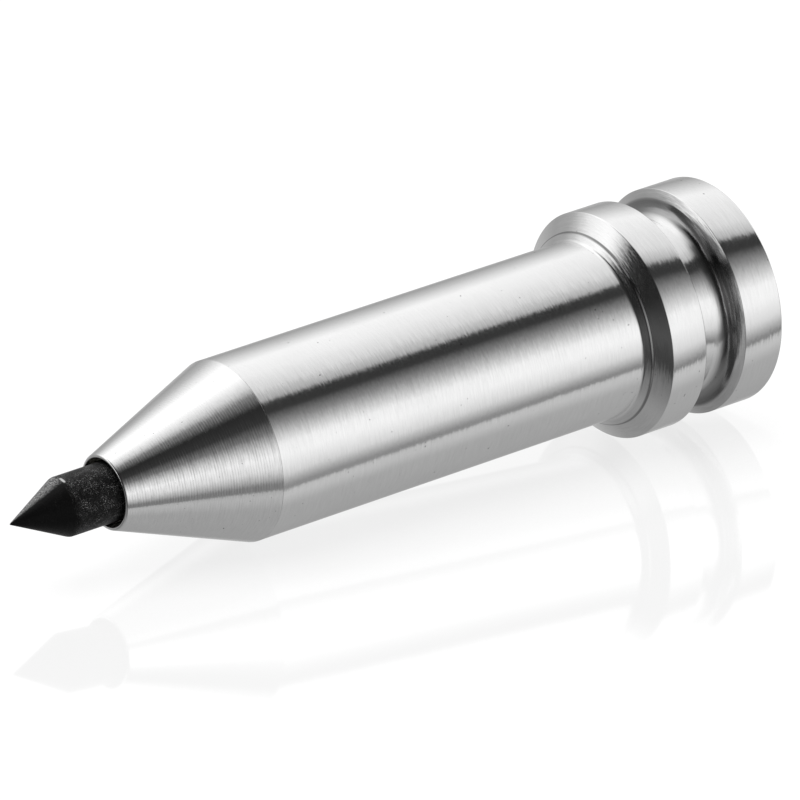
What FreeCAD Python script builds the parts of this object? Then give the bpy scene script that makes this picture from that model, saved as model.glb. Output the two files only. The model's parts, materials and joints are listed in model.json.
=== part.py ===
"""Small live center with a straight, flanged body.

A conical point turns in two shielded ball bearings and a thrust bearing, inside a
steel body with a screwed nose cap, a double rear flange and a retaining groove.

Frame: millimetres, +X along the spindle axis towards the point, +Z up, origin at the
centre of the rear face.  Every profile is given as (x, r) stations along the axis.
"""
import math
import os

import FreeCAD
import Part

Vector = FreeCAD.Vector
AXIS = Vector(1, 0, 0)
ORIGIN = Vector(0, 0, 0)

# Outside of the body
OVERALL = 55.75              # rear face to the sharp apex of the cone, before blunting
BODY_R = 6.0
FLANGE_R = 7.65
REAR_FLANGE_X = 3.06         # front edge of the rear flange's land
REAR_LAND_EDGE = 0.04
REAR_CHAMFER = (0.25, 7.04)  # length of the chamfer in front of that land, and its small radius
GROOVE_X = (3.55, 6.05)      # flat floor of the retaining groove
GROOVE_R = 6.0
GROOVE_FILLETS = (1.0, 0.6)  # at the rear and the front of the floor
FRONT_FLANGE_X = (6.30, 9.05)
STEP_X = (9.80, 9.94, 10.26) # locating step before the front flange: land, then sloped wall
STEP_R = 6.52
STEP_EDGE = 0.05
STEP_FILLET = 0.3
NOSE_JOINT_X = 39.0          # face where the nose cap meets the body
LIP_X = 48.55                # front lip of the nose cap
LIP_R = 2.47
LIP_BORE_R = 2.30
LIP_EDGES = (0.17, 0.03)     # outer and inner corner radii of the lip
EDGE_BREAK = 0.12
JOINT_EDGE = 0.02            # both edges of the joint between the body and the nose cap

# Point and spindle
POINT_R = 1.96
POINT_SHOULDER_X = 51.75     # where the cone of the point begins
POINT_SHOULDER_FILLET = 0.5
POINT_BLUNT_R = 0.07
POINT_BLUNT_EDGE = 0.03
POINT_SEAT_X = 43.0          # face of the spindle that the point sits on
POINT_STUB_R = 1.0
POINT_STUB_LENGTH = 5.0
POINT_SOCKET_RELIEF = 0.2    # free depth behind the stub
SPINDLE_R = 2.0              # front journal
SPINDLE_REAR_R = 1.5         # rear journal and thread
SPINDLE_END_X = 12.7
COLLAR_R = 2.55
COLLAR_X = (29.2, 32.2)
SMALL_EDGE = 0.1             # edges of the turned pieces inside

# Bores of the body
PLUG_THREAD_R = 4.5
PLUG_SHOULDER_X = 4.4
REAR_BORE_R = 4.0
FRONT_BORE_R = 4.5
WEB_X = (21.6, 25.2)         # wall between the two bearing bores
WEB_BORE_R = 2.6

# Bearings: one ball size throughout
BALL_R = 0.794
GROOVE_CLEARANCE = 0.01
RACE_R = BALL_R + GROOVE_CLEARANCE
POCKET_R = BALL_R + 0.05
FRONT_BEARING = dict(x0=32.2, width=4.0, bore=2.0, inner_land=2.65,
                     outer_land=3.85, outer=4.5, pitch=3.25, balls=7)
REAR_BEARING = dict(x0=16.0, width=4.0, bore=1.5, inner_land=2.15,
                    outer_land=3.35, outer=4.0, pitch=2.75, balls=7)
THRUST_X = 27.2              # plane of the thrust balls
THRUST_PITCH_R = 3.0
THRUST_BALLS = 8
THRUST_HALF_GAP = 0.65       # ball plane to each washer's face
THRUST_WASHER = 1.35
THRUST_SHAFT_WASHER_R = 4.0
THRUST_HOUSING_WASHER_BORE_R = 2.3
THRUST_CAGE_R = (2.15, 3.85)
THRUST_CAGE_HALF_WIDTH = 0.45
SHIELD_THICKNESS = 0.25
SHIELD_RECESS = 0.08
SHIELD_BORE_CLEARANCE = 0.12
SHIELD_REBATE = (0.1, 0.2)   # inward and outward reach of the rebate from the outer land
RING_EDGES = (0.08, 0.12)    # corner radii of the inner and the outer rings
CAGE_CLEARANCE = 0.25
CAGE_HALF_WIDTH = 1.05
SPACER_BORE_R = 4.1

# Seals, spring, nut and plug
SEAL_X = (44.4, 45.9)
SEAL_R = 3.0
RUNNING_CLEARANCE = 0.04
SLINGER_X = (36.5, 37.1)
SLINGER_R = 3.1
CAP_CAVITY_R = 3.4
CAP_CAVITY_X = 42.5
CAP_CAVITY_FILLET = 0.4
SHIM_THICKNESS = 0.3
SHIM_CLEARANCES = (0.05, 0.02)   # outside the bearing's land, and inside the bore
SPRING_R = (3.35, 3.85)
SPRING_THICKNESS = 0.22
SPRING_WAVES = 3
WASHER_THICKNESS = 0.4
WASHER_R = 2.6
TAB_LENGTH = 1.4
TAB_WIDTH = 1.8
TAB_ROOT = 0.2               # how far the tab's foot reaches into the washer
NUT_THICKNESS = 2.2
NUT_FLATS = 5.0
NUT_CHAMFER = (0.2, 0.3)
PLUG_X = 0.4                 # the plug sits this far inside the rear face
PLUG_CHAMFER = 0.25
PLUG_END_X = 7.0
PLUG_NOSE_R = 3.95
PLUG_SOCKET_FLATS = 4.0
PLUG_SOCKET_DEPTH = 2.4
O_RING_X = 5.7
O_RING_R = 0.4
O_RING_GROOVE_HALF = 0.5


def corner(before, at, after, radius):
    """Tangent points and middle of the arc that rounds one corner of an outline."""
    to_before = (before - at).normalize()
    to_after = (after - at).normalize()
    half = to_before.getAngle(to_after) / 2
    setback = radius / math.tan(half)
    bisector = (to_before + to_after).normalize()
    middle = at + bisector * (radius / math.sin(half) - radius)
    return at + to_before * setback, middle, at + to_after * setback


def turned(stations):
    """Solid turned about the X axis from closed (x, r) or (x, r, corner radius) stations."""
    points = [Vector(s[0], s[1], 0) for s in stations]
    radii = [s[2] if len(s) > 2 else 0 for s in stations]
    edges = []
    first = last = None
    for i, point in enumerate(points):
        if radii[i]:
            after = points[(i + 1) % len(points)]
            start, middle, end = corner(points[i - 1], point, after, radii[i])
        else:
            start = end = point
        if last is None:
            first = start
        elif last.distanceToPoint(start) > 1e-6:
            edges.append(Part.LineSegment(last, start).toShape())
        if radii[i]:
            edges.append(Part.Arc(start, middle, end).toShape())
        last = end
    edges.append(Part.LineSegment(last, first).toShape())
    return Part.Face(Part.Wire(edges)).revolve(ORIGIN, AXIS, 360)


def ring(x0, x1, inner, outer, edge=0.0):
    """Plain ring between two planes, with its outer corners rounded by edge."""
    return turned([(x0, inner), (x1, inner), (x1, outer, edge), (x0, outer, edge)])


def hexagon(x0, x1, flats):
    """Hexagonal bar along X, measured across its flats."""
    corner_r = flats / math.sqrt(3)
    angles = [math.radians(60 * i) for i in range(7)]
    points = [Vector(x0, corner_r * math.cos(a), corner_r * math.sin(a)) for a in angles]
    return Part.Face(Part.makePolygon(points)).extrude(Vector(x1 - x0, 0, 0))


def around(shape, count):
    """Copies of a shape, evenly spaced around the X axis."""
    copies = []
    for i in range(count):
        copy = shape.copy()
        copy.rotate(ORIGIN, AXIS, 360 * i / count)
        copies.append(copy)
    return copies


def torus(x, pitch, section):
    return Part.makeTorus(pitch, section, Vector(x, 0, 0), AXIS)


def ball(x, pitch):
    return Part.makeSphere(BALL_R, Vector(x, 0, pitch))


def housing():
    """Body: plain shank, locating step, two flanges with a groove, and stepped bores."""
    outside = [
        (0, PLUG_THREAD_R, 0),
        (0, FLANGE_R, EDGE_BREAK),
        (REAR_FLANGE_X, FLANGE_R, REAR_LAND_EDGE),
        (REAR_FLANGE_X + REAR_CHAMFER[0], REAR_CHAMFER[1], EDGE_BREAK),
        (GROOVE_X[0], GROOVE_R, GROOVE_FILLETS[0]),
        (GROOVE_X[1], GROOVE_R, GROOVE_FILLETS[1]),
        (FRONT_FLANGE_X[0], FLANGE_R, EDGE_BREAK),
        (FRONT_FLANGE_X[1], FLANGE_R, EDGE_BREAK),
        (STEP_X[0], STEP_R, 0),
        (STEP_X[1], STEP_R, STEP_EDGE),
        (STEP_X[2], BODY_R, STEP_FILLET),
        (NOSE_JOINT_X, BODY_R, JOINT_EDGE),
    ]
    inside = [
        (NOSE_JOINT_X, FRONT_BORE_R),
        (WEB_X[1], FRONT_BORE_R),
        (WEB_X[1], WEB_BORE_R),
        (WEB_X[0], WEB_BORE_R),
        (WEB_X[0], REAR_BORE_R),
        (PLUG_SHOULDER_X, REAR_BORE_R),
        (PLUG_SHOULDER_X, PLUG_THREAD_R),
    ]
    return turned(outside + inside)


def nose_cap():
    """Conical cap that screws into the body, clamps the bearings and holds the seal."""
    spigot_x = FRONT_BEARING["x0"] + FRONT_BEARING["width"]
    return turned([
        (spigot_x, CAP_CAVITY_R),
        (spigot_x, FRONT_BORE_R, SMALL_EDGE),
        (NOSE_JOINT_X, FRONT_BORE_R),
        (NOSE_JOINT_X, BODY_R, JOINT_EDGE),
        (LIP_X, LIP_R, LIP_EDGES[0]),
        (LIP_X, LIP_BORE_R, LIP_EDGES[1]),
        (SEAL_X[1], LIP_BORE_R),
        (SEAL_X[1], SEAL_R),
        (SEAL_X[0], SEAL_R),
        (SEAL_X[0], LIP_BORE_R),
        (CAP_CAVITY_X, LIP_BORE_R),
        (CAP_CAVITY_X, CAP_CAVITY_R, CAP_CAVITY_FILLET),
    ])


def point():
    """Hard conical point with a round shank and a stub pressed into the spindle."""
    stub_x = POINT_SEAT_X - POINT_STUB_LENGTH
    cone_slope = POINT_R / (OVERALL - POINT_SHOULDER_X)
    return turned([
        (stub_x, 0),
        (stub_x, POINT_STUB_R, SMALL_EDGE),
        (POINT_SEAT_X, POINT_STUB_R),
        (POINT_SEAT_X, POINT_R, SMALL_EDGE),
        (POINT_SHOULDER_X, POINT_R, POINT_SHOULDER_FILLET),
        (OVERALL - POINT_BLUNT_R / cone_slope, POINT_BLUNT_R, POINT_BLUNT_EDGE),
        (OVERALL - POINT_BLUNT_R, 0),
    ])


def spindle():
    """Steel spindle: socket for the point, front journal, thrust collar, rear journal."""
    socket_x = POINT_SEAT_X - POINT_STUB_LENGTH - POINT_SOCKET_RELIEF
    shoulder_x = REAR_BEARING["x0"] + REAR_BEARING["width"]
    return turned([
        (SPINDLE_END_X, 0),
        (SPINDLE_END_X, SPINDLE_REAR_R, SMALL_EDGE),
        (shoulder_x, SPINDLE_REAR_R),
        (shoulder_x, SPINDLE_R, SMALL_EDGE),
        (COLLAR_X[0], SPINDLE_R),
        (COLLAR_X[0], COLLAR_R, SMALL_EDGE),
        (COLLAR_X[1], COLLAR_R, SMALL_EDGE),
        (COLLAR_X[1], SPINDLE_R),
        (POINT_SEAT_X, SPINDLE_R, SMALL_EDGE),
        (POINT_SEAT_X, POINT_STUB_R),
        (socket_x, POINT_STUB_R),
        (socket_x, 0),
    ])


def radial_bearing(name, size):
    """Deep-groove ball bearing as five nodes: two rings, balls, cage and shields."""
    x0, x1 = size["x0"], size["x0"] + size["width"]
    middle = (x0 + x1) / 2
    race = torus(middle, size["pitch"], RACE_R)
    inner = ring(x0, x1, size["bore"], size["inner_land"], RING_EDGES[0]).cut(race)
    outer = ring(x0, x1, size["outer_land"], size["outer"], RING_EDGES[1]).cut(race)
    rebate_r = (size["outer_land"] - SHIELD_REBATE[0], size["outer_land"] + SHIELD_REBATE[1])
    shields = []
    for side_x in (x0 + SHIELD_RECESS, x1 - SHIELD_RECESS - SHIELD_THICKNESS):
        rebate = ring(side_x - SHIELD_RECESS, side_x + SHIELD_RECESS + SHIELD_THICKNESS,
                      *rebate_r)
        outer = outer.cut(rebate)
        shields.append(ring(side_x, side_x + SHIELD_THICKNESS,
                            size["inner_land"] + SHIELD_BORE_CLEARANCE, rebate_r[1]))
    cage = ring(middle - CAGE_HALF_WIDTH, middle + CAGE_HALF_WIDTH,
                size["inner_land"] + CAGE_CLEARANCE, size["outer_land"] - CAGE_CLEARANCE)
    pocket = Part.makeSphere(POCKET_R, Vector(middle, 0, size["pitch"]))
    for cut in around(pocket, size["balls"]):
        cage = cage.cut(cut)
    return {
        name + "_outer_ring": outer,
        name + "_inner_ring": inner,
        name + "_balls": Part.makeCompound(around(ball(middle, size["pitch"]), size["balls"])),
        name + "_cage": cage,
        name + "_shields": Part.makeCompound(shields),
    }


def thrust_bearing():
    """Thrust ball bearing behind the collar: two grooved washers, balls and cage."""
    race = torus(THRUST_X, THRUST_PITCH_R, RACE_R)
    front_x = THRUST_X + THRUST_HALF_GAP
    rear_x = THRUST_X - THRUST_HALF_GAP
    shaft_washer = ring(front_x, front_x + THRUST_WASHER,
                        SPINDLE_R, THRUST_SHAFT_WASHER_R, SMALL_EDGE).cut(race)
    housing_washer = ring(rear_x - THRUST_WASHER, rear_x,
                          THRUST_HOUSING_WASHER_BORE_R, FRONT_BORE_R, SMALL_EDGE).cut(race)
    cage = ring(THRUST_X - THRUST_CAGE_HALF_WIDTH, THRUST_X + THRUST_CAGE_HALF_WIDTH,
                *THRUST_CAGE_R)
    pocket = Part.makeSphere(POCKET_R, Vector(THRUST_X, 0, THRUST_PITCH_R))
    for cut in around(pocket, THRUST_BALLS):
        cage = cage.cut(cut)
    return {
        "thrust_bearing_shaft_washer": shaft_washer,
        "thrust_bearing_housing_washer": housing_washer,
        "thrust_bearing_balls": Part.makeCompound(around(ball(THRUST_X, THRUST_PITCH_R),
                                                         THRUST_BALLS)),
        "thrust_bearing_cage": cage,
    }


def outer_spacer():
    """Sleeve that carries the nose cap's clamping force past the collar."""
    rear_x = THRUST_X - THRUST_HALF_GAP
    return ring(rear_x, FRONT_BEARING["x0"], SPACER_BORE_R, FRONT_BORE_R, SMALL_EDGE)


def wavy_edge(radius, x_middle, height):
    """Closed curve that waves along X as it goes once around the axis."""
    points_per_wave = 24
    count = points_per_wave * SPRING_WAVES
    points = []
    for i in range(count):
        angle = 2 * math.pi * i / count
        x = x_middle + height * math.cos(SPRING_WAVES * angle)
        points.append(Vector(x, radius * math.cos(angle), radius * math.sin(angle)))
    curve = Part.BSplineCurve()
    curve.interpolate(Points=points, PeriodicFlag=True)
    return curve.toShape()


def wave_spring():
    """Wave spring that preloads the rear bearing, and through it the thrust bearing."""
    bearing_face = REAR_BEARING["x0"] + REAR_BEARING["width"]
    low, high = bearing_face + SHIM_THICKNESS, WEB_X[0]
    height = (high - low - SPRING_THICKNESS) / 2
    middle = (low + high) / 2
    corners = [(radius, middle + side * SPRING_THICKNESS / 2)
               for radius, side in ((SPRING_R[0], -1), (SPRING_R[1], -1),
                                    (SPRING_R[1], 1), (SPRING_R[0], 1))]
    edges = [wavy_edge(radius, x, height) for radius, x in corners]
    faces = [Part.makeRuledSurface(edges[i], edges[(i + 1) % 4]) for i in range(4)]
    return Part.makeSolid(Part.makeShell([f for shell in faces for f in shell.Faces]))


def lock_washer():
    """Tab washer: its tab lies up against one flat of the lock nut."""
    bearing_x = REAR_BEARING["x0"]
    rear_x = bearing_x - WASHER_THICKNESS
    disc = ring(rear_x, bearing_x, SPINDLE_REAR_R, WASHER_R)
    tab_z = NUT_FLATS / 2
    tab = Part.makeBox(WASHER_THICKNESS + TAB_LENGTH, TAB_WIDTH, WASHER_THICKNESS,
                       Vector(rear_x - TAB_LENGTH, -TAB_WIDTH / 2, tab_z))
    foot = Part.makeBox(WASHER_THICKNESS, TAB_WIDTH, WASHER_THICKNESS + TAB_ROOT,
                        Vector(rear_x, -TAB_WIDTH / 2, tab_z - TAB_ROOT))
    return disc.fuse([tab, foot]).removeSplitter()


def lock_nut():
    """Thin hexagon nut that clamps the rear bearing's inner ring to the spindle."""
    x1 = REAR_BEARING["x0"] - WASHER_THICKNESS
    x0 = x1 - NUT_THICKNESS
    corner_r = NUT_FLATS / math.sqrt(3)
    length, depth = NUT_CHAMFER
    chamfered = turned([
        (x0, SPINDLE_REAR_R),
        (x0, corner_r - depth),
        (x0 + length, corner_r),
        (x1 - length, corner_r),
        (x1, corner_r - depth),
        (x1, SPINDLE_REAR_R),
    ])
    return hexagon(x0, x1, NUT_FLATS).common(chamfered)


def end_plug():
    """Screwed plug with a hexagon socket and a groove for its O-ring."""
    groove_r = REAR_BORE_R - 2 * O_RING_R
    blank = turned([
        (PLUG_X, 0),
        (PLUG_X, PLUG_THREAD_R, PLUG_CHAMFER),
        (PLUG_SHOULDER_X, PLUG_THREAD_R),
        (PLUG_SHOULDER_X, PLUG_NOSE_R),
        (O_RING_X - O_RING_GROOVE_HALF, PLUG_NOSE_R),
        (O_RING_X - O_RING_GROOVE_HALF, groove_r),
        (O_RING_X + O_RING_GROOVE_HALF, groove_r),
        (O_RING_X + O_RING_GROOVE_HALF, PLUG_NOSE_R),
        (PLUG_END_X, PLUG_NOSE_R, SMALL_EDGE),
        (PLUG_END_X, 0),
    ])
    return blank.cut(hexagon(PLUG_X, PLUG_X + PLUG_SOCKET_DEPTH, PLUG_SOCKET_FLATS))


def spring_shim():
    """Thin ring between the wave spring and the rear bearing's outer ring."""
    bearing_face = REAR_BEARING["x0"] + REAR_BEARING["width"]
    return ring(bearing_face, bearing_face + SHIM_THICKNESS,
                REAR_BEARING["outer_land"] + SHIM_CLEARANCES[0],
                REAR_BORE_R - SHIM_CLEARANCES[1])


def make_parts():
    """Every node of the live center, by name."""
    parts = {
        "housing": housing(),
        "nose_cap": nose_cap(),
        "nose_seal": ring(*SEAL_X, POINT_R + RUNNING_CLEARANCE, SEAL_R),
        "point": point(),
        "spindle": spindle(),
        "slinger_ring": ring(*SLINGER_X, SPINDLE_R, SLINGER_R, SMALL_EDGE),
        "outer_spacer": outer_spacer(),
        "preload_wave_spring": wave_spring(),
        "spring_shim": spring_shim(),
        "lock_washer": lock_washer(),
        "lock_nut": lock_nut(),
        "end_plug": end_plug(),
        "end_plug_o_ring": torus(O_RING_X, REAR_BORE_R - O_RING_R, O_RING_R),
    }
    parts.update(radial_bearing("front_bearing", FRONT_BEARING))
    parts.update(radial_bearing("rear_bearing", REAR_BEARING))
    parts.update(thrust_bearing())
    return parts


def main():
    os.makedirs("parts", exist_ok=True)
    for name, shape in make_parts().items():
        if not shape.isValid() or shape.Volume <= 0:
            raise ValueError(name + " is not a valid solid")
        shape.exportStep(os.path.join("parts", name + ".step"))
        print(name, len(shape.Solids), round(shape.Volume, 3))


main()
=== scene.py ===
"""Looks of a small live center: turned and brushed steel body, ridged nose, matt black point."""
import json
import math
import random

import bmesh
import bpy
from mathutils import Matrix, Vector


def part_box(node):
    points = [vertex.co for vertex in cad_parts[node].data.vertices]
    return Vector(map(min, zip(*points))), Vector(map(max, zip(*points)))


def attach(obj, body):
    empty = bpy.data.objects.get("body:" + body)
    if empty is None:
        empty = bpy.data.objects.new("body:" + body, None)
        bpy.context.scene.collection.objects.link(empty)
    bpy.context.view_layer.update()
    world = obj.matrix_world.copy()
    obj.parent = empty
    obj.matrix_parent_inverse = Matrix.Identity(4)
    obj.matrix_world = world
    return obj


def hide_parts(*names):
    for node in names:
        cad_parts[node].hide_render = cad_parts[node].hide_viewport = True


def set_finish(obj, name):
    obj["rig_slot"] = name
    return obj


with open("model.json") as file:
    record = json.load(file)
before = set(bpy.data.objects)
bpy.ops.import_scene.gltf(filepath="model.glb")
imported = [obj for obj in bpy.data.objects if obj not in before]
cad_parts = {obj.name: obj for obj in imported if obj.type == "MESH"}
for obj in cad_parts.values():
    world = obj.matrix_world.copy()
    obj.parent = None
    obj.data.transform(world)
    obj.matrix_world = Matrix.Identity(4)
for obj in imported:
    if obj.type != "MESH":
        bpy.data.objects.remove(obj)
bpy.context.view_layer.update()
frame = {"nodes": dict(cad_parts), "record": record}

MM = 0.001
SEGMENTS = 352              # facets around every turned piece

# Stations along the axis and radii, in millimetres, as the part has them
BODY_R = 6.0
FLANGE_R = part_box("housing")[1].z / MM
NOSE_JOINT_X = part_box("housing")[1].x / MM
LIP_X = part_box("nose_cap")[1].x / MM
SPIGOT_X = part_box("nose_cap")[0].x / MM
TIP_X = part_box("point")[1].x / MM
STUB_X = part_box("point")[0].x / MM
EDGE_BREAK = 0.12
REAR_FLANGE_X, REAR_LAND_EDGE = 3.06, 0.04
REAR_CHAMFER = (0.25, 7.04)         # its length, and its small radius
GROOVE_X, GROOVE_FILLETS = (3.55, 6.05), (1.0, 0.6)
FRONT_FLANGE_X = (6.30, 9.05)
STEP_X = (9.80, 9.94, 10.26)        # land, then sloped wall
STEP_R, STEP_EDGE, STEP_FILLET = 6.52, 0.05, 0.3
JOINT_EDGE = 0.02
PLUG_THREAD_R, REAR_BORE_R, FRONT_BORE_R, WEB_BORE_R = 4.5, 4.0, 4.5, 2.6
PLUG_SHOULDER_X, PLUG_THREAD_EDGE, WEB_X = 4.4, 0.1, (21.6, 25.2)
LIP_R, LIP_BORE_R, LIP_EDGES = 2.47, 2.30, (0.17, 0.03)
SEAL_X, SEAL_R = (44.4, 45.9), 3.0
CAP_CAVITY_X, CAP_CAVITY_R, CAP_CAVITY_FILLET, SPIGOT_EDGE = 42.5, 3.4, 0.4, 0.2
APEX_X = 55.75                      # of the cone before blunting
POINT_R, POINT_SHOULDER_X, POINT_SHOULDER_FILLET = 1.96, 51.75, 0.5
POINT_SEAT_X, POINT_STUB_R, POINT_EDGES = 43.0, 1.0, (0.15, 0.1)
BLUNT_LENGTH, BLUNT_EDGE = 0.05, 0.03

# Tool marks: pitch and depth in millimetres, and the seed of their depths
NOSE_MARKS = (0.172, 0.005, 4)
CONE_MARKS = (0.15, 0.006, 9)
MARK_STEPS = 4


# ---------------------------------------------------------------- turned meshes

def rounded(stations, steps=6):
    """Outline through (x, r) or (x, r, corner radius) stations, with its corners as arcs."""
    points = []
    count = len(stations)
    for i, station in enumerate(stations):
        at = Vector(station[:2])
        radius = station[2] if len(station) > 2 else 0
        if not radius:
            points.append(at)
            continue
        before = (Vector(stations[i - 1][:2]) - at).normalized()
        after = (Vector(stations[(i + 1) % count][:2]) - at).normalized()
        half = before.angle(after) / 2
        centre = at + (before + after).normalized() * (radius / math.sin(half))
        start = at + before * (radius / math.tan(half)) - centre
        end = at + after * (radius / math.tan(half)) - centre
        turn = start.angle_signed(end)
        for k in range(steps + 1):
            points.append(centre + Matrix.Rotation(-turn * k / steps, 2) @ start)
    return points


def ridges(start, end, pitch, height, seed):
    """Points of a turned flank from start to end, with tool marks of one pitch."""
    start, end = Vector(start), Vector(end)
    along = end - start
    outward = Vector((-along.y, along.x)).normalized()
    if outward.y < 0:
        outward = -outward
    count = int(along.length / pitch)
    rng = random.Random(seed)
    points = []
    for i in range(count):
        depth = height * rng.uniform(0.35, 1.0)
        for k in range(MARK_STEPS):
            share = (i + k / MARK_STEPS) / count
            dip = depth * 0.5 * (1 - math.cos(2 * math.pi * k / MARK_STEPS))
            points.append(start + along * share - outward * dip)
    return points


def turned(name, outline, body, slot, replaced):
    """Closed mesh turned about the X axis from a closed outline, smooth but for its corners."""
    mesh = bpy.data.meshes.new(name)
    bm = bmesh.new()
    rings = []
    for x, r in outline:
        if r < 1e-6:
            rings.append([bm.verts.new((x * MM, 0, 0))])
            continue
        ring = []
        for k in range(SEGMENTS):
            angle = 2 * math.pi * k / SEGMENTS
            ring.append(bm.verts.new((x * MM, r * MM * math.cos(angle), r * MM * math.sin(angle))))
        rings.append(ring)
    count = len(rings)
    for i in range(count):
        a, b = rings[i], rings[(i + 1) % count]
        if len(a) == 1 and len(b) == 1:
            continue
        for k in range(SEGMENTS):
            n = (k + 1) % SEGMENTS
            if len(a) == 1:
                bm.faces.new((a[0], b[k], b[n]))
            elif len(b) == 1:
                bm.faces.new((a[k], b[0], a[n]))
            else:
                bm.faces.new((a[k], b[k], b[n], a[n]))
    bmesh.ops.recalc_face_normals(bm, faces=bm.faces)
    for face in bm.faces:
        face.smooth = True
    for edge in bm.edges:
        if len(edge.link_faces) == 2:
            edge.smooth = edge.calc_face_angle(0) < math.radians(28)
    bm.to_mesh(mesh)
    bm.free()
    piece = bpy.data.objects.new(name, mesh)
    bpy.context.scene.collection.objects.link(piece)
    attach(piece, body)
    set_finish(piece, slot)
    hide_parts(replaced)
    return piece


def body_outline():
    return rounded([
        (0, PLUG_THREAD_R, PLUG_THREAD_EDGE),
        (0, FLANGE_R, EDGE_BREAK),
        (REAR_FLANGE_X, FLANGE_R, REAR_LAND_EDGE),
        (REAR_FLANGE_X + REAR_CHAMFER[0], REAR_CHAMFER[1], EDGE_BREAK),
        (GROOVE_X[0], BODY_R, GROOVE_FILLETS[0]),
        (GROOVE_X[1], BODY_R, GROOVE_FILLETS[1]),
        (FRONT_FLANGE_X[0], FLANGE_R, EDGE_BREAK),
        (FRONT_FLANGE_X[1], FLANGE_R, EDGE_BREAK),
        (STEP_X[0], STEP_R),
        (STEP_X[1], STEP_R, STEP_EDGE),
        (STEP_X[2], BODY_R, STEP_FILLET),
        (NOSE_JOINT_X, BODY_R, JOINT_EDGE),
        (NOSE_JOINT_X, FRONT_BORE_R),
        (WEB_X[1], FRONT_BORE_R),
        (WEB_X[1], WEB_BORE_R),
        (WEB_X[0], WEB_BORE_R),
        (WEB_X[0], REAR_BORE_R),
        (PLUG_SHOULDER_X, REAR_BORE_R),
        (PLUG_SHOULDER_X, PLUG_THREAD_R),
    ])


def nose_outline():
    outline = rounded([
        (SPIGOT_X, CAP_CAVITY_R),
        (SPIGOT_X, FRONT_BORE_R, SPIGOT_EDGE),
        (NOSE_JOINT_X, FRONT_BORE_R),
        (NOSE_JOINT_X, BODY_R, JOINT_EDGE),
        (LIP_X, LIP_R, LIP_EDGES[0]),
        (LIP_X, LIP_BORE_R, LIP_EDGES[1]),
        (SEAL_X[1], LIP_BORE_R),
        (SEAL_X[1], SEAL_R),
        (SEAL_X[0], SEAL_R),
        (SEAL_X[0], LIP_BORE_R),
        (CAP_CAVITY_X, LIP_BORE_R),
        (CAP_CAVITY_X, CAP_CAVITY_R, CAP_CAVITY_FILLET),
    ])
    longest = max(range(len(outline) - 1), key=lambda i: (outline[i + 1] - outline[i]).length)
    flank = ridges(outline[longest], outline[longest + 1], *NOSE_MARKS)
    return outline[:longest] + flank + outline[longest + 1:]


def point_outline():
    cone_slope = POINT_R / (APEX_X - POINT_SHOULDER_X)
    blunt_x = TIP_X - BLUNT_LENGTH
    outline = rounded([
        (STUB_X, 0),
        (STUB_X, POINT_STUB_R, POINT_EDGES[0]),
        (POINT_SEAT_X, POINT_STUB_R),
        (POINT_SEAT_X, POINT_R, POINT_EDGES[1]),
        (POINT_SHOULDER_X, POINT_R, POINT_SHOULDER_FILLET),
        (blunt_x, (APEX_X - blunt_x) * cone_slope, BLUNT_EDGE),
        (TIP_X, 0),
    ])
    first = next(i for i in range(len(outline) - 1)
                 if outline[i].x > POINT_SHOULDER_X and outline[i + 1].x > TIP_X - 0.5)
    flank = ridges(outline[first], outline[first + 1], *CONE_MARKS)
    return outline[:first] + flank + outline[first + 1:]


# ---------------------------------------------------------------- materials

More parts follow.
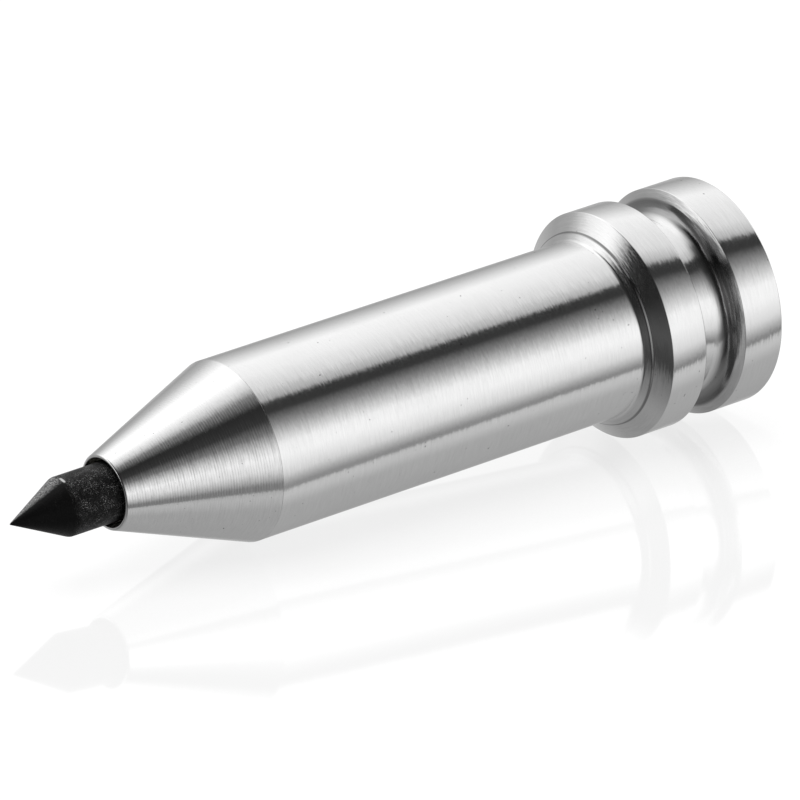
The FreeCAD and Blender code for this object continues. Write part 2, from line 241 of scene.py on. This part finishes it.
class Nodes:
    """Short calls that add and join shader nodes of one material."""

    def __init__(self, name):
        self.material = bpy.data.materials.new(name)
        self.material.use_nodes = True
        self.tree = self.material.node_tree
        self.shader = self.tree.nodes["Principled BSDF"]

    def add(self, kind, inputs=None, **settings):
        node = self.tree.nodes.new(kind)
        for key, value in settings.items():
            setattr(node, key, value)
        for key, value in (inputs or {}).items():
            self.put(node.inputs[key], value)
        return node

    def put(self, socket, value):
        if isinstance(value, bpy.types.NodeSocket):
            self.tree.links.new(value, socket)
        else:
            socket.default_value = value

    def math(self, operation, *values):
        node = self.add("ShaderNodeMath", operation=operation)
        for socket, value in zip(node.inputs, values):
            self.put(socket, value)
        return node.outputs[0]

    def noise(self, vector, scale, detail=2.0, roughness=0.5):
        node = self.add("ShaderNodeTexNoise", {"Vector": vector, "Scale": scale,
                                               "Detail": detail, "Roughness": roughness})
        return node.outputs["Fac"]

    def remap(self, value, low, high, to_low, to_high):
        node = self.add("ShaderNodeMapRange", {"Value": value, "From Min": low, "From Max": high,
                                               "To Min": to_low, "To Max": to_high})
        return node.outputs["Result"]

    def grey(self, value):
        node = self.add("ShaderNodeCombineColor")
        for socket in node.inputs[:3]:
            self.put(socket, value)
        return node.outputs[0]

    def on_axis(self):
        """Place as x, y, z and the distance from the X axis."""
        place = self.add("ShaderNodeTexCoord").outputs["Object"]
        x, y, z = self.add("ShaderNodeSeparateXYZ", {"Vector": place}).outputs
        square = self.math("ADD", self.math("MULTIPLY", y, y), self.math("MULTIPLY", z, z))
        return x, y, z, self.math("MAXIMUM", 1e-6, self.math("SQRT", square))

    def around_axis(self, per_metre, per_turn):
        """Vector whose first part runs along the turned outline and whose others run around."""
        x, y, z, radius = self.on_axis()
        parts = [self.math("MULTIPLY", self.math("SUBTRACT", x, radius), per_metre)]
        for side in (y, z):
            parts.append(self.math("MULTIPLY", self.math("DIVIDE", side, radius), per_turn))
        return self.add("ShaderNodeCombineXYZ", dict(zip("XYZ", parts))).outputs[0]

    def vector(self, operation, *values):
        node = self.add("ShaderNodeVectorMath", operation=operation)
        names = ["Vector", "Scale"] if operation == "SCALE" else [0, 1]
        for name, value in zip(names, values):
            self.put(node.inputs[name], value)
        return node.outputs[0]

    def tilted(self, tangent, across, along):
        """Normal tipped across the turning marks, and less along them."""
        normal = self.add("ShaderNodeNewGeometry").outputs["Normal"]
        profile = self.vector("CROSS_PRODUCT", tangent, normal)
        tipped = self.vector("ADD", normal, self.vector("SCALE", profile, across))
        tipped = self.vector("ADD", tipped, self.vector("SCALE", tangent, along))
        return self.vector("NORMALIZE", tipped)

    def bump(self, height, distance):
        node = self.add("ShaderNodeBump", {"Height": height, "Distance": distance,
                                           "Strength": 1.0})
        return node.outputs["Normal"]

    def finish(self, **sockets):
        for key, value in sockets.items():
            self.put(self.shader.inputs[key.replace("_", " ").title()], value)
        return self.material


def groove_and_step_painted_shade(n):
    """Painted shade: a factor that darkens the retaining groove's two walls and the locating step's
    land below the rest of the turned steel.
    """
    x, _, _, radius = n.on_axis()

    def ramp(value, low, high, to_low, to_high):
        return n.remap(value, low * MM, high * MM, to_low, to_high)

    chamfer_x = REAR_FLANGE_X + REAR_CHAMFER[0]
    rear = ramp(x, chamfer_x - 0.05, chamfer_x + 0.03, 0.0, 1.0)
    front = ramp(x, FRONT_FLANGE_X[0] - 0.08, FRONT_FLANGE_X[0] - 0.02, 1.0, 0.0)
    wall = ramp(radius, BODY_R + 0.02, BODY_R + 0.25, 0.0, 1.0)
    # Painted shade on the groove's walls, deeper towards the rear wall
    groove_wall_mask = n.math("MULTIPLY", wall, n.math("MULTIPLY", rear, front))
    drop = ramp(x, GROOVE_X[0] + 0.95, GROOVE_X[1] - 0.55, 0.55, 0.8)
    walls = n.math("SUBTRACT", 1.0, n.math("MULTIPLY", groove_wall_mask, drop))
    # Painted shade on the locating step's land
    step = n.math("MULTIPLY", ramp(x, STEP_X[0] - 0.03, STEP_X[0] + 0.01, 0.0, 0.72),
                  ramp(x, STEP_X[1], STEP_X[1] + 0.06, 1.0, 0.0))
    return n.math("MULTIPLY", walls, n.math("SUBTRACT", 1.0, step))


def turned_metal(name, tone, roughness, across, along):
    """Turned steel: short marks around the axis that tip the surface, a few dark pits, and painted
    shade on the groove walls and the step land.
    """
    n = Nodes(name)
    strokes = n.noise(n.around_axis(8500, 5), 1.0, 4.0, 0.65)
    blotches = n.noise(n.around_axis(8000, 20), 1.0, 3.0, 0.6)
    cloud = n.noise(n.around_axis(260, 3), 1.0, 2.0, 0.5)
    pits = n.remap(n.noise(n.around_axis(4600, 30), 1.0, 0.0, 0.0), 0.855, 0.875, 0.0, 1.0)
    shade = n.remap(strokes, 0.3, 0.7, tone * 0.955, tone * 1.02)
    shade = n.math("MULTIPLY", shade, n.remap(cloud, 0.3, 0.7, 0.98, 1.01))
    shade = n.math("MULTIPLY", shade, n.math("SUBTRACT", 1.0, n.math("MULTIPLY", pits, 0.6)))
    # Painted shade: darkens the groove walls and the step land
    shade = n.math("MULTIPLY", shade, groove_and_step_painted_shade(n))
    rough = n.remap(blotches, 0.3, 0.7, roughness * 0.85, roughness * 1.2)
    tangent = n.add("ShaderNodeTangent", direction_type="RADIAL", axis="X").outputs[0]
    normal = n.tilted(tangent, n.remap(strokes, 0.3, 0.7, -across, across),
                      n.remap(blotches, 0.3, 0.7, -along, along))
    n.shader.inputs["Metallic"].default_value = 1.0
    n.shader.inputs["Anisotropic"].default_value = 0.5
    n.shader.inputs["Anisotropic Rotation"].default_value = 0.25
    return n.finish(base_color=n.grey(shade), roughness=rough, normal=normal, tangent=tangent)


def black_point_metal(name):
    """Blackened hard metal: bright specks on the shank, a painted highlight of polished rings on one
    side of the cone, and a painted glint on the shoulder.
    """
    n = Nodes(name)
    place = n.add("ShaderNodeTexCoord").outputs["Object"]
    along, y, z, radius = n.on_axis()

    def side(degrees):
        """How far a place faces one side: 1 there, falling off as the cosine around the axis."""
        turn = math.radians(degrees)
        facing = n.math("ADD", n.math("MULTIPLY", y, math.cos(turn)),
                        n.math("MULTIPLY", z, math.sin(turn)))
        return n.math("DIVIDE", facing, radius)

    grain = n.noise(place, 13000, 5.0, 0.75)
    specks = n.remap(n.noise(place, 19000, 2.0, 0.6), 0.56, 0.70, 0.0, 1.0)
    patches = n.remap(n.noise(place, 1500, 2.0, 0.5), 0.40, 0.60, 0.2, 1.0)
    on_cone = n.remap(along, (POINT_SHOULDER_X - 0.1) * MM, (POINT_SHOULDER_X + 0.25) * MM, 0.0, 1.0)
    specks = n.math("MULTIPLY", n.math("MULTIPLY", specks, patches),
                    n.math("SUBTRACT", 1.0, n.math("MULTIPLY", on_cone, 0.95)))
    rings = n.remap(n.noise(n.around_axis(12000, 9), 1.0, 3.0, 0.7), 0.44, 0.60, 0.05, 1.0)
    # Painted highlight: polished rings only on one side of the cone, where the highlight falls; it
    # is fixed to the point and turns with it
    painted_highlight_rings = n.math("MULTIPLY", n.math("MULTIPLY", rings, on_cone),
                      n.remap(side(114), 0.78, 0.97, 0.0, 1.0))
    from_shoulder = n.math("ABSOLUTE", n.math("SUBTRACT", along, POINT_SHOULDER_X * MM))
    worn = n.math("MULTIPLY", n.remap(from_shoulder, 0.02 * MM, 0.22 * MM, 1.0, 0.0),
                  n.remap(grain, 0.40, 0.58, 0.3, 1.0))
    # Painted glint: a small bright spot on one side of the shoulder
    painted_glint = n.math("MULTIPLY", n.remap(from_shoulder, 0.01 * MM, 0.10 * MM, 1.0, 0.0),
                   n.remap(side(82), 0.985, 0.998, 0.0, 1.6))
    # Real bare specks plus the painted highlight and the painted glint, as brighter, metallic colour
    specks_and_painted_highlight = n.math("ADD", n.math("MULTIPLY", specks, 0.60), n.math("MULTIPLY", painted_highlight_rings, 0.85))
    specks_and_painted_highlight = n.math("MINIMUM", 1.0, n.math("ADD", specks_and_painted_highlight, painted_glint))
    shade = n.math("ADD", 0.003, n.math("MULTIPLY", specks_and_painted_highlight, 0.5))
    rough = n.math("SUBTRACT", n.remap(grain, 0.3, 0.7, 0.26, 0.38), n.math("MULTIPLY", worn, 0.1))
    n.shader.inputs["Specular IOR Level"].default_value = 0.09
    return n.finish(base_color=n.grey(shade), roughness=rough, normal=n.bump(grain, 0.02 * MM),
                    metallic=n.math("MULTIPLY", specks_and_painted_highlight, 0.8))


def ground_metal(name, colour, roughness, scale):
    """Ground or honed metal of one colour, with fine lines around the axis."""
    n = Nodes(name)
    lines = n.noise(n.around_axis(scale, 8), 1.0, 2.0, 0.5)
    mix = n.add("ShaderNodeMix", {"Factor": n.remap(lines, 0.3, 0.7, 0.0, 1.0)}, data_type="RGBA")
    mix.inputs["A"].default_value = [c * 0.9 for c in colour] + [1]
    mix.inputs["B"].default_value = list(colour) + [1]
    n.shader.inputs["Metallic"].default_value = 1.0
    rough = n.remap(lines, 0.3, 0.7, roughness * 0.8, roughness * 1.2)
    return n.finish(base_color=mix.outputs["Result"], roughness=rough,
                    normal=n.bump(lines, 0.0006 * MM))


def soft_matter(name, colour, scale, depth, roughness, sheen):
    """Felt or rubber: uneven colour and a fine surface."""
    n = Nodes(name)
    place = n.add("ShaderNodeTexCoord").outputs["Object"]
    fibres = n.noise(place, scale, 5.0, 0.7)
    mix = n.add("ShaderNodeMix", {"Factor": n.remap(fibres, 0.3, 0.7, 0.0, 1.0)}, data_type="RGBA")
    mix.inputs["A"].default_value = [c * 0.7 for c in colour] + [1]
    mix.inputs["B"].default_value = list(colour) + [1]
    n.shader.inputs["Sheen Weight"].default_value = sheen
    rough = n.remap(fibres, 0.3, 0.7, roughness * 0.9, min(1.0, roughness * 1.1))
    return n.finish(base_color=mix.outputs["Result"], roughness=rough,
                    normal=n.bump(fibres, depth * MM))


def make_materials():
    return {
        "turned_body": turned_metal("turned_body", 0.90, 0.13, 0.045, 0.010),
        "turned_nose": turned_metal("turned_nose", 0.90, 0.11, 0.045, 0.012),
        "black_point": black_point_metal("black_point"),
        "ground_steel": ground_metal("ground_steel", (0.62, 0.62, 0.63), 0.22, 12000),
        "bearing_steel": ground_metal("bearing_steel", (0.68, 0.68, 0.69), 0.12, 20000),
        "polished_ball": ground_metal("polished_ball", (0.80, 0.80, 0.81), 0.05, 3000),
        "brass_cage": ground_metal("brass_cage", (0.78, 0.58, 0.26), 0.28, 9000),
        "shield_steel": ground_metal("shield_steel", (0.60, 0.60, 0.61), 0.3, 8000),
        "spring_steel": ground_metal("spring_steel", (0.30, 0.31, 0.36), 0.3, 7000),
        "dark_steel": ground_metal("dark_steel", (0.09, 0.09, 0.10), 0.4, 7000),
        "felt": soft_matter("felt", (0.62, 0.59, 0.52), 12000, 0.03, 0.95, 0.6),
        "rubber": soft_matter("rubber", (0.03, 0.03, 0.03), 9000, 0.004, 0.55, 0.0),
    }


# ---------------------------------------------------------------- object

turned("body_shell", body_outline(), "body", "turned_body", "housing")
turned("nose_cone", nose_outline(), "body", "turned_nose", "nose_cap")
turned("black_tip", point_outline(), "rotating_spindle", "black_point", "point")

materials = make_materials()
slot_of = {entry["node"]: entry["material_slot"] for entry in frame["record"]["subparts"]}
for node, piece in frame["nodes"].items():
    piece.data.materials.clear()
    piece.data.materials.append(materials[slot_of[node]])
for piece in [o for o in bpy.data.objects if o.type == "MESH" and "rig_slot" in o]:
    piece.data.materials.append(materials[piece["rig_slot"]])


# ---------------------------------------------------------------- floor, light and camera

REST_SLOPE = math.atan((FLANGE_R - BODY_R) / (NOSE_JOINT_X - FRONT_FLANGE_X[1]))
FLOOR_NORMAL = Vector((-math.sin(REST_SLOPE), 0, math.cos(REST_SLOPE)))
FLOOR_CONTACT = Vector((NOSE_JOINT_X, 0, -BODY_R)) * MM

# Camera: distances, lens and sensor in millimetres, angles in degrees
CAMERA_AIM, CAMERA_DISTANCE = (25.55, 0.20, -0.38), 521.9
CAMERA_AZIMUTH, CAMERA_ELEVATION = 54.245, 23.318
CAMERA_LENS, CAMERA_SENSOR = 366.7, 36


def make_floor():
    """Glossy white table, lit from below, on which the shoulder and the front flange rest."""
    side = 3.0
    mesh = bpy.data.meshes.new("floor")
    corners = [(-side, -side, 0), (side, -side, 0), (side, side, 0), (-side, side, 0)]
    mesh.from_pydata(corners, [], [(0, 1, 2, 3)])
    floor = bpy.data.objects.new("floor", mesh)
    floor.matrix_world = (Matrix.Translation(FLOOR_CONTACT)
                          @ Matrix.Rotation(-REST_SLOPE, 4, "Y"))
    bpy.context.scene.collection.objects.link(floor)
    floor.visible_glossy = False
    n = Nodes("pale_floor")
    cloud = n.noise(n.add("ShaderNodeTexCoord").outputs["Object"], 40, 2.0, 0.5)
    shade = n.remap(cloud, 0.3, 0.7, 0.135, 0.145)
    n.shader.inputs["IOR"].default_value = 2.0
    n.shader.inputs["Emission Color"].default_value = (1, 1, 1, 1)
    n.shader.inputs["Emission Strength"].default_value = 0.76
    floor.data.materials.append(n.finish(base_color=n.grey(shade), roughness=0.06))


# Long softboxes, a dark card and a grey table, as (angle in degrees about the object's axis,
# brightness): 0 is level on the camera's side, 90 overhead.
BESIDE_REAR = [
    (-180, 0.60), (-150, 0.75), (-130, 0.60), (-65, 0.65), (-50, 0.75), (-42, 0.75),
    (-40, 0.40), (-20, 0.85), (0, 0.95), (15, 0.95), (40, 0.55), (55, 0.20), (67, 0.20),
    (71, 0.70), (85, 0.85), (135, 0.95), (160, 0.75),
]
BESIDE_NOSE = [
    (-180, 0.60), (-155, 0.75), (-125, 0.55), (-60, 0.60), (-38, 0.70), (-35, 0.45),
    (-28, 0.45), (-10, 0.85), (5, 0.95), (15, 0.85), (32, 0.45), (46, 0.20), (64, 0.15),
    (80, 0.45), (90, 0.80), (110, 1.05), (135, 1.05), (165, 0.65),
]
AHEAD = [
    (-180, 0.55), (-150, 0.45), (-135, 0.30), (-120, 0.45), (-98, 0.55), (-70, 0.40),
    (-62, 0.20), (-30, 0.30), (0, 0.25), (40, 0.15), (100, 0.10), (115, 0.15),
    (125, 0.80), (135, 1.00), (155, 0.95), (170, 0.60),
]


def linear(display):
    return ((display + 0.055) / 1.055) ** 2.4


def make_world():
    world = bpy.data.worlds.new("studio")
    bpy.context.scene.world = world
    world.use_nodes = True
    tree = world.node_tree
    tree.nodes.clear()
    new, link = tree.nodes.new, tree.links.new
    place = new("ShaderNodeTexCoord")
    split = new("ShaderNodeSeparateXYZ")
    link(place.outputs["Generated"], split.inputs[0])
    angle = new("ShaderNodeMath")
    angle.operation = "ARCTAN2"
    link(split.outputs["Z"], angle.inputs[0])
    link(split.outputs["Y"], angle.inputs[1])

    def remapped(value, low, high):
        node = new("ShaderNodeMapRange")
        node.inputs["From Min"].default_value = low
        node.inputs["From Max"].default_value = high
        link(value, node.inputs["Value"])
        return node.outputs["Result"]

    share = remapped(angle.outputs[0], -math.pi, math.pi)

    def ramp_of(strips):
        ramp = new("ShaderNodeValToRGB")
        link(share, ramp.inputs["Fac"])
        stops = ramp.color_ramp.elements
        stops.remove(stops[0])
        for i, (degrees, display) in enumerate(strips):
            position = (degrees + 180) / 360
            stop = stops[0] if i == 0 else stops.new(position)
            stop.position = position
            stop.color = [linear(display)] * 3 + [1]
        last = stops.new(1.0)
        last.color = [linear(strips[0][1])] * 3 + [1]
        return ramp.outputs["Color"]

    def mixed(factor, a, b):
        node = new("ShaderNodeMix")
        node.data_type = "RGBA"
        link(factor, node.inputs["Factor"])
        link(a, node.inputs["A"])
        link(b, node.inputs["B"])
        return node.outputs["Result"]

    forward = split.outputs["X"]
    light = mixed(remapped(forward, -0.56, 0.12), ramp_of(BESIDE_REAR), ramp_of(BESIDE_NOSE))
    light = mixed(remapped(forward, 0.12, 0.65), light, ramp_of(AHEAD))
    seen = new("ShaderNodeBackground")
    seen.inputs["Color"].default_value = (1, 1, 1, 1)
    lit = new("ShaderNodeBackground")
    lit.inputs["Strength"].default_value = 1.14
    link(light, lit.inputs["Color"])
    path = new("ShaderNodeLightPath")
    mix = new("ShaderNodeMixShader")
    link(path.outputs["Is Camera Ray"], mix.inputs[0])
    link(lit.outputs[0], mix.inputs[1])
    link(seen.outputs[0], mix.inputs[2])
    out = new("ShaderNodeOutputWorld")
    link(mix.outputs[0], out.inputs["Surface"])


def make_lights():
    """A broad soft light overhead that lights the floor and the black point."""
    data = bpy.data.lights.new("overhead", "AREA")
    data.shape = "RECTANGLE"
    data.size, data.size_y = 0.5, 0.4
    data.energy = 3.0
    lamp = bpy.data.objects.new("overhead", data)
    lamp.location = (0.1, -0.05, 0.5)
    lamp.rotation_euler = (Vector((0.02, 0, 0)) - lamp.location).to_track_quat("-Z", "Y").to_euler()
    lamp.visible_glossy = False
    bpy.context.scene.collection.objects.link(lamp)


def make_camera():
    """Long lens, well back, looking down at the point from in front and the left side."""
    aim = Vector(CAMERA_AIM) * MM
    distance = CAMERA_DISTANCE * MM
    azimuth, elevation = math.radians(CAMERA_AZIMUTH), math.radians(CAMERA_ELEVATION)
    toward = Vector((math.cos(elevation) * math.cos(azimuth),
                     math.cos(elevation) * math.sin(azimuth), math.sin(elevation)))
    right = FLOOR_NORMAL.cross(toward).normalized()
    up = toward.cross(right)
    data = bpy.data.cameras.new("camera")
    data.lens = CAMERA_LENS
    data.sensor_width = CAMERA_SENSOR
    data.clip_start = 0.01
    camera = bpy.data.objects.new("camera", data)
    axes = Matrix((right, up, toward)).transposed().to_4x4()
    camera.matrix_world = Matrix.Translation(aim + toward * distance) @ axes
    bpy.context.scene.collection.objects.link(camera)
    bpy.context.scene.camera = camera


make_floor()
make_world()
make_lights()
make_camera()
settings = bpy.context.scene.view_settings
settings.view_transform = "Standard"
settings.look = "None"
